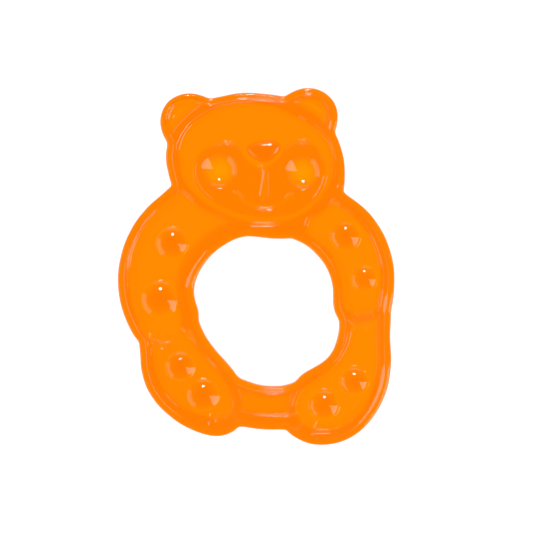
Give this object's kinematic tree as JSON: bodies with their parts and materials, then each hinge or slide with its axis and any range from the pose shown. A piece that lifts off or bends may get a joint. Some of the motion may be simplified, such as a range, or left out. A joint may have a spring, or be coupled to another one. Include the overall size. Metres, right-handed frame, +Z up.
{
  "type": "teething ring",
  "caption": "Soft tinted teething ring shaped as a lying bear, with raised rims, domed chewing nubs, a moulded face and a large open hand hole.",
  "frame": {"origin": "middle of the ring's outline, on the plane its back rests on", "axes": "+Z up out of the face side, away from the resting plane; +Y towards the top of the head; +X towards the viewer's right when looking at the face"},
  "size_m": [0.0858, 0.1107, 0.0104],
  "materials": {
    "tinted_elastomer": "gloss, clear orange tint through the thickness"
  },
  "bodies": {
    "root": {"head": "tinted_elastomer", "muzzle_mask": "tinted_elastomer", "nose": "tinted_elastomer", "left_ear": "tinted_elastomer", "right_ear": "tinted_elastomer", "neck": "tinted_elastomer", "left_arm": "tinted_elastomer", "right_arm": "tinted_elastomer", "left_leg": "tinted_elastomer", "right_leg": "tinted_elastomer", "foot_bridge": "tinted_elastomer", "left_arm_nub_upper": "tinted_elastomer", "left_arm_nub_lower": "tinted_elastomer", "right_arm_nub_upper": "tinted_elastomer", "right_arm_nub_lower": "tinted_elastomer", "left_leg_nub_upper": "tinted_elastomer", "left_leg_nub_lower": "tinted_elastomer", "right_leg_nub_upper": "tinted_elastomer", "right_leg_nub_lower": "tinted_elastomer"}
  },
  "joints": []
}
